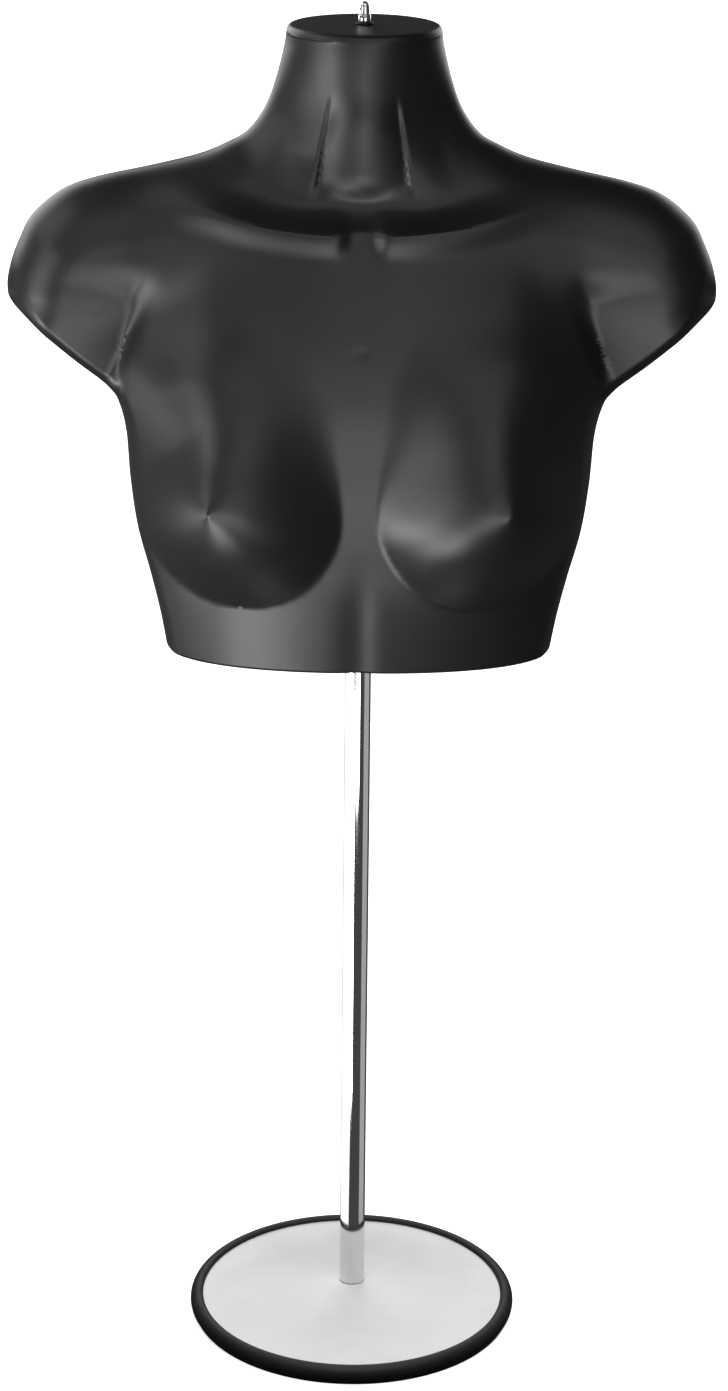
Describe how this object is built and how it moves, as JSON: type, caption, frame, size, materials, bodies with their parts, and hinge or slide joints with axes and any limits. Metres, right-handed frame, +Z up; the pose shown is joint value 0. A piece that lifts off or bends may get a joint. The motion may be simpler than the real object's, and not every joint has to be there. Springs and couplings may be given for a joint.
{
  "type": "dress form mannequin",
  "caption": "Hollow-back moulded female upper-torso form on a height-adjustable chromed pole with a domed round base and rubber rim.",
  "frame": {"origin": "centre of the base's underside on the floor, on the pole's axis", "axes": "+Z up along the pole, +X towards the form's left shoulder (the viewer's right), -Y towards the front of the form"},
  "size_m": [0.418, 0.2111, 0.8431],
  "materials": {
    "black_moulding": "satin black moulded plastic",
    "chrome": "polished chrome plate",
    "plate_finish": "satin pale grey",
    "rubber": "black moulded rubber",
    "zinc": "zinc-plated steel",
    "dark_steel": "blackened steel",
    "nylon": "natural nylon",
    "knob_plastic": "black moulded plastic"
  },
  "bodies": {
    "base": {"base_plate": "plate_finish", "rubber_rim": "rubber", "base_screw": "zinc", "spring_washer": "zinc", "flat_washer": "zinc", "foot_plug": "zinc", "pole_tube": "chrome", "collar_bush": "nylon", "height_collar": "chrome"},
    "thumb_screw": {"thumb_screw_stem": "zinc", "thumb_screw_knob": "knob_plastic"},
    "upper_pole": {"upper_tube": "chrome", "guide_bush": "nylon", "tube_top_plug": "zinc", "neck_stud": "zinc", "support_washer": "zinc"},
    "form": {"torso_shell": "black_moulding", "swivel_washer": "nylon", "neck_washer": "dark_steel", "cap_nut": "chrome"}
  },
  "joints": [
    {"name": "height_slide", "type": "slide", "parent": "base", "child": "upper_pole", "axis": [0, 0, 1], "range_m": [-0.1, 0.18]},
    {"name": "form_swivel", "type": "hinge", "parent": "upper_pole", "child": "form", "pos_m": [0, 0, 0.8], "axis": [0, 0, 1], "continuous": true},
    {"name": "thumb_screw_turn", "type": "hinge", "parent": "base", "child": "thumb_screw", "pos_m": [0, 0, 0.605], "axis": [0, 1, 0], "range_deg": [-360, 0]}
  ]
}
